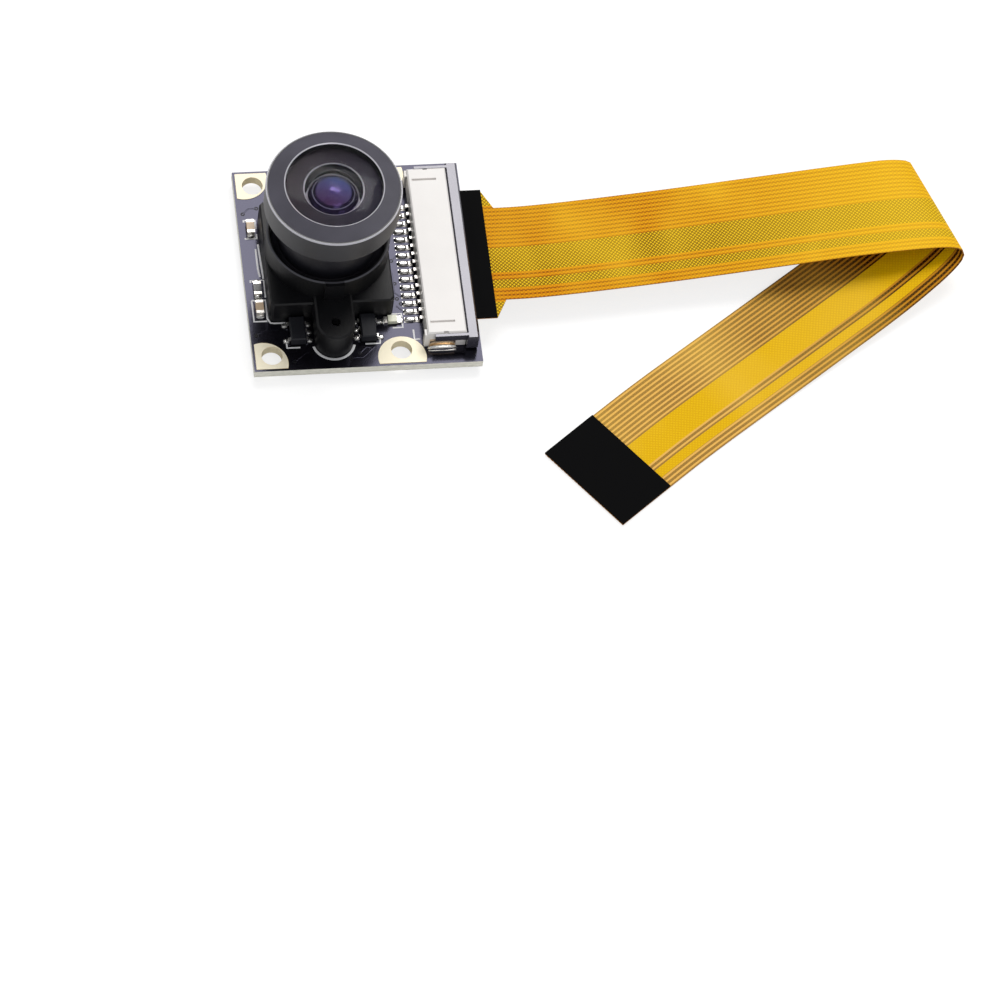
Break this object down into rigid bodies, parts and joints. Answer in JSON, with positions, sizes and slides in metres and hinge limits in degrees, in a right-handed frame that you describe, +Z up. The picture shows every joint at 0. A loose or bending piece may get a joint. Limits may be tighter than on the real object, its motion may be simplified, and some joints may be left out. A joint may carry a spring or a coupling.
{
  "type": "camera module",
  "caption": "Small camera board with a wide-angle screw-in lens, flat cable connector and folded flat cable.",
  "frame": {"origin": "centre of the board in plan, at the surface it rests on, which is the bottom of the screw heads", "axes": "+Z up along the lens axis towards the scene, +X towards the edge where the cable leaves, +Y along the connector"},
  "size_m": [0.0765, 0.0447, 0.0174],
  "materials": {
    "board_mask": "black gloss solder mask on fibreglass laminate",
    "gold_plate": "gold plated copper",
    "tin": "tinned metal",
    "black_moulding": "satin black moulded plastic",
    "screw_steel": "blackened steel",
    "sensor_body": "black laminate package",
    "silicon": "dark iridescent silicon",
    "clear_glass": "clear glass",
    "filter_blue": "pale cyan infrared filter",
    "lens_black": "black anodised aluminium, satin",
    "coated_glass": "glass with violet coating",
    "flat_black": "flat black",
    "ivory": "ivory moulded nylon",
    "latch_black": "black moulded nylon",
    "ceramic": "tan ceramic",
    "resistor_black": "black glaze",
    "led_resin": "pale yellow-green resin",
    "film_gold": "amber polyimide film over copper tracks",
    "backing_black": "black stiffening sheet"
  },
  "bodies": {
    "module": {"board": "board_mask", "plated_holes": "gold_plate", "solder_pads": "tin", "lens_holder": "black_moulding", "holder_screws": "screw_steel", "sensor_base": "sensor_body", "sensor_die": "silicon", "sensor_glass": "clear_glass", "filter_glass": "filter_blue", "connector_shell": "ivory", "connector_leads": "tin", "connector_nails": "tin", "capacitor_a": "ceramic", "capacitor_b": "ceramic", "resistor": "resistor_black", "chip_ends": "tin", "led_body": "led_resin", "led_ends": "tin", "regulators": "black_moulding", "regulator_leads": "tin", "oscillator": "tin", "cable_film": "film_gold", "near_backing": "backing_black", "far_backing": "backing_black", "near_fingers": "gold_plate", "far_fingers": "gold_plate"},
    "lens": {"lens_barrel": "lens_black", "front_ring": "lens_black", "front_glass": "coated_glass", "black_ring": "flat_black", "second_glass": "coated_glass", "stop_ring": "flat_black", "middle_glass": "coated_glass", "rear_glass": "coated_glass", "rear_ring": "lens_black"},
    "latch": {"connector_latch": "latch_black"}
  },
  "joints": [
    {"name": "lens_turn", "type": "hinge", "parent": "module", "child": "lens", "pos_m": [-0.0034, 0.0004, 0.008], "axis": [0, 0, 1], "range_deg": [-180, 180]},
    {"name": "latch_slide", "type": "slide", "parent": "module", "child": "latch", "axis": [1, 0, 0], "range_m": [0, 0.0012]}
  ]
}
